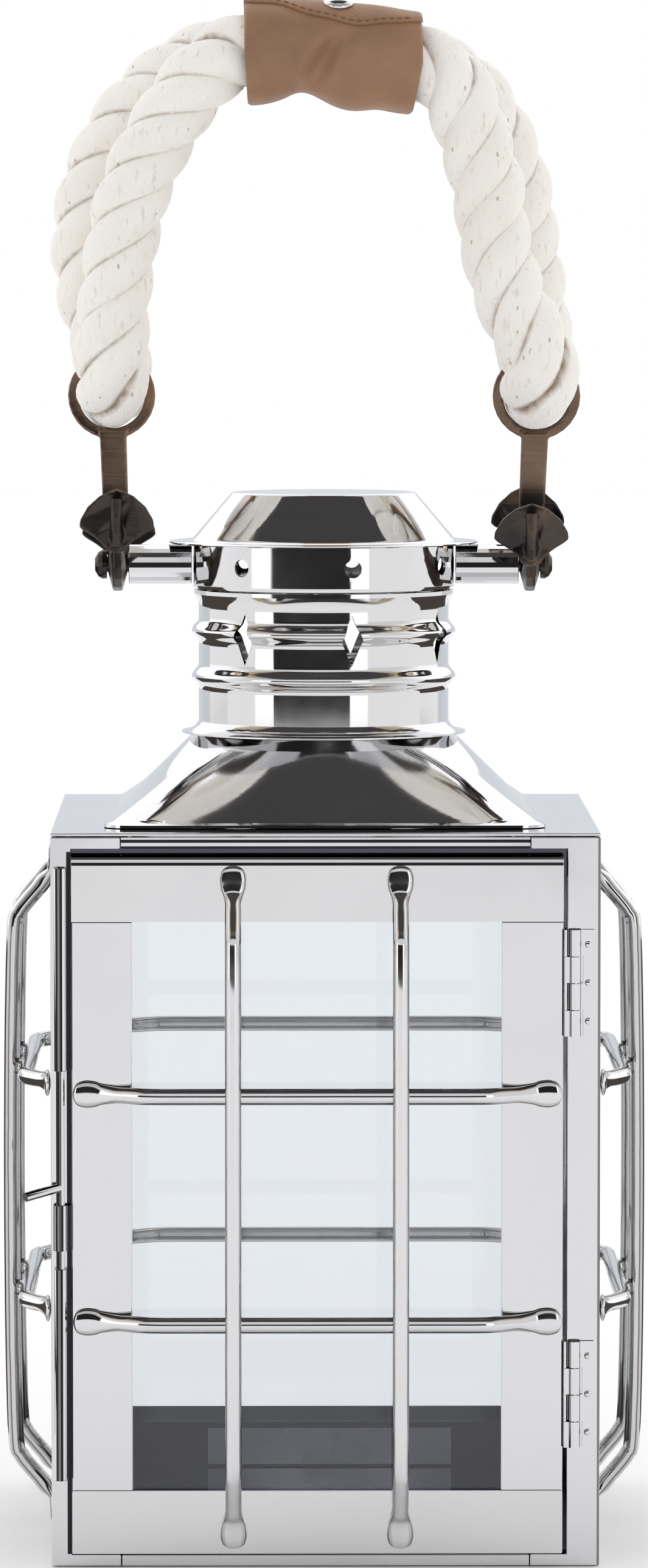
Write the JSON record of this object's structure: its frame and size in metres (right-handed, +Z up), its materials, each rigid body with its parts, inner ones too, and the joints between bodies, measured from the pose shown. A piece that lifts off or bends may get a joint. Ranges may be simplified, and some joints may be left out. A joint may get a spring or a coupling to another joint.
{
  "type": "ship lantern",
  "caption": "Square glazed ship lantern with wire guards, a hinged latched door, a vented chimney and a rope handle on two small anchors.",
  "frame": {"origin": "on the ground under the middle of the square case, between the outermost guards", "axes": "+Z up, -Y towards the door, +X towards the door's hinges; the handle stands upright"},
  "size_m": [0.2388, 0.2388, 0.5733],
  "materials": {
    "steel": "mirror-polished stainless steel",
    "bronze": "dark brushed bronze with coppery edges",
    "glass": "clear flat glass",
    "rope": "laid natural cotton rope",
    "leather": "worn brown leather"
  },
  "bodies": {
    "case": {"back_inner_plate": "steel", "bottom_rail_back": "steel", "bottom_rail_left": "steel", "bottom_rail_right": "steel", "chimney": "steel", "chimney_cap": "steel", "corner_post_back_left": "steel", "corner_post_back_right": "steel", "corner_post_front_left": "steel", "corner_post_front_right": "steel", "floor_plate": "steel", "glass_back": "glass", "glass_left": "glass", "glass_right": "glass", "guard_back_bar_lower": "steel", "guard_back_bar_upper": "steel", "guard_back_upright_left": "steel", "guard_back_upright_right": "steel", "guard_left_bar_lower": "steel", "guard_left_bar_upper": "steel", "guard_left_upright_left": "steel", "guard_left_upright_right": "steel", "guard_right_bar_lower": "steel", "guard_right_bar_upper": "steel", "guard_right_upright_left": "steel", "guard_right_upright_right": "steel", "header_front": "steel", "hinge_lower_frame_leaf": "steel", "hinge_upper_frame_leaf": "steel", "latch_tube_lower": "steel", "latch_tube_upper": "steel", "pivot_screw_left": "bronze", "pivot_screw_right": "bronze", "pivot_spacer_left": "steel", "pivot_spacer_right": "steel", "roof_hood": "steel", "sill_front": "steel", "top_deck": "steel", "top_rail_back": "steel", "top_rail_left": "steel", "top_rail_right": "steel", "vent_collar": "steel"},
    "door": {"door_bottom_rail": "steel", "door_glass": "glass", "door_stile_left": "steel", "door_stile_right": "steel", "door_top_rail": "steel", "guard_door_bar_lower": "steel", "guard_door_bar_upper": "steel", "guard_door_upright_left": "steel", "guard_door_upright_right": "steel", "hinge_lower_door_leaf": "steel", "hinge_upper_door_leaf": "steel", "latch_keeper": "steel"},
    "latch_bolt": {"latch_bolt": "steel"},
    "handle": {"anchor_left": "bronze", "anchor_right": "bronze", "leather_sleeve": "leather", "rope_grip": "rope", "sleeve_snap": "steel"}
  },
  "joints": [
    {"name": "door_swing", "type": "hinge", "parent": "case", "child": "door", "pos_m": [0.0906, -0.1025, 0.134], "axis": [0, 0, 1], "range_deg": [0, 165]},
    {"name": "latch_slide", "type": "slide", "parent": "case", "child": "latch_bolt", "axis": [0, 0, 1], "range_m": [0, 0.04]},
    {"name": "handle_swing", "type": "hinge", "parent": "case", "child": "handle", "pos_m": [0, 0, 0.362], "axis": [1, 0, 0], "range_deg": [-115, 115]}
  ]
}
